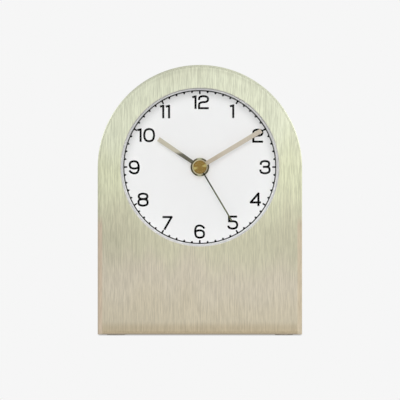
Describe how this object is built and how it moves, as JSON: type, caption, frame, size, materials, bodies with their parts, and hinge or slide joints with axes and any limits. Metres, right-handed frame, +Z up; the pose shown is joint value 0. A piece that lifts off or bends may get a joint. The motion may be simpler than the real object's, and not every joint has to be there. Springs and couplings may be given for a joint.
{
  "type": "mantel clock",
  "caption": "Arch-topped brushed metal mantel clock with a round white dial and a battery quartz movement that turns hour, minute and seconds hands.",
  "frame": {"origin": "on the table, at the bottom centre of the clock's overall box", "axes": "+X to the right seen from the front, +Y to the rear, +Z up; the dial faces -Y"},
  "size_m": [0.114, 0.042, 0.1508],
  "materials": {
    "champagne_metal": "vertically brushed champagne anodising",
    "clear_lens": "clear and polished",
    "white_ring": "fine matt white",
    "dial_white": "matt white with black printed numerals and minute track",
    "black_moulding": "fine grained black",
    "foot_rubber": "matt dark grey",
    "screw_steel": "zinc plated",
    "movement_moulding": "spark-eroded black",
    "natural_moulding": "natural",
    "bush_brass": "turned",
    "cap_brass": "spun",
    "washer_rubber": "matt black",
    "motor_iron": "nickel plated",
    "winding_copper": "enamelled copper",
    "board_green": "solder mask",
    "crystal_can": "drawn can",
    "chip_resin": "poured black resin",
    "contact_nickel": "nickel plated spring steel",
    "cell_wrap": "plain printed wrap",
    "magnet_dark": "sintered",
    "gear_plastic": "moulded acetal",
    "hand_champagne": "satin champagne",
    "seconds_olive": "satin",
    "knob_plastic": "moulded"
  },
  "bodies": {
    "case": {"front_fascia": "champagne_metal", "case_band": "champagne_metal", "lens": "clear_lens", "lens_ring": "white_ring", "dial_plate": "dial_white", "inner_frame": "black_moulding", "rear_cover": "black_moulding", "rear_cover_screws": "screw_steel", "base_plate": "black_moulding", "base_plate_screws": "screw_steel", "foot_pads": "foot_rubber", "movement_front_case": "movement_moulding", "movement_rear_case": "movement_moulding", "middle_plate": "natural_moulding", "threaded_bush": "bush_brass", "ring_nut": "bush_brass", "mounting_washer": "washer_rubber", "stator": "motor_iron", "coil_core": "motor_iron", "coil_bobbin": "natural_moulding", "coil_winding": "winding_copper", "motor_screws": "screw_steel", "circuit_board": "board_green", "quartz_crystal": "crystal_can", "driver_chip": "chip_resin", "positive_contact": "contact_nickel", "negative_contact": "contact_nickel", "battery_cell": "cell_wrap"},
    "seconds_arbor": {"seconds_wheel": "gear_plastic", "seconds_hand": "seconds_olive", "seconds_cap": "cap_brass"},
    "rotor": {"rotor_magnet": "magnet_dark", "rotor_pinion": "gear_plastic"},
    "intermediate": {"intermediate_wheel": "gear_plastic"},
    "third": {"third_wheel": "gear_plastic"},
    "centre": {"centre_wheel": "gear_plastic", "clutch_spring": "contact_nickel"},
    "minute_arbor": {"minute_tube": "gear_plastic", "minute_hand": "hand_champagne"},
    "reduction": {"minute_wheel": "gear_plastic"},
    "hour_arbor": {"hour_wheel": "gear_plastic", "hour_hand": "hand_champagne"},
    "setting": {"setting_arbor": "gear_plastic", "setting_knob": "knob_plastic"}
  },
  "joints": [
    {"name": "seconds", "type": "hinge", "parent": "case", "child": "seconds_arbor", "pos_m": [0, 0, 0.09385], "axis": [0, 1, 0], "continuous": true},
    {"name": "rotor_spin", "type": "hinge", "parent": "case", "child": "rotor", "pos_m": [-0.00863, 0, 0.10403], "axis": [0, 1, 0], "continuous": true},
    {"name": "intermediate_spin", "type": "hinge", "parent": "case", "child": "intermediate", "pos_m": [-0.00624, 0, 0.09745], "axis": [0, 1, 0], "continuous": true},
    {"name": "third_spin", "type": "hinge", "parent": "case", "child": "third", "pos_m": [0.0036, 0, 0.10009], "axis": [0, 1, 0], "continuous": true},
    {"name": "centre_spin", "type": "hinge", "parent": "case", "child": "centre", "pos_m": [0, 0, 0.09385], "axis": [0, 1, 0], "continuous": true},
    {"name": "minute", "type": "hinge", "parent": "case", "child": "minute_arbor", "pos_m": [0, 0, 0.09385], "axis": [0, 1, 0], "continuous": true},
    {"name": "reduction_spin", "type": "hinge", "parent": "case", "child": "reduction", "pos_m": [0.0052, 0, 0.09085], "axis": [0, 1, 0], "continuous": true},
    {"name": "hour", "type": "hinge", "parent": "case", "child": "hour_arbor", "pos_m": [0, 0, 0.09385], "axis": [0, 1, 0], "continuous": true},
    {"name": "setting_spin", "type": "hinge", "parent": "case", "child": "setting", "pos_m": [0.01083, 0, 0.0929], "axis": [0, 1, 0], "continuous": true}
  ],
  "couplings": [
    {"joint": "rotor_spin", "follows": "seconds", "ratio": 30},
    {"joint": "intermediate_spin", "follows": "seconds", "ratio": -5},
    {"joint": "third_spin", "follows": "seconds", "ratio": -0.13333},
    {"joint": "centre_spin", "follows": "seconds", "ratio": 0.016667},
    {"joint": "reduction_spin", "follows": "minute", "ratio": -0.33333},
    {"joint": "hour", "follows": "minute", "ratio": 0.083333},
    {"joint": "setting_spin", "follows": "minute", "ratio": 1}
  ]
}
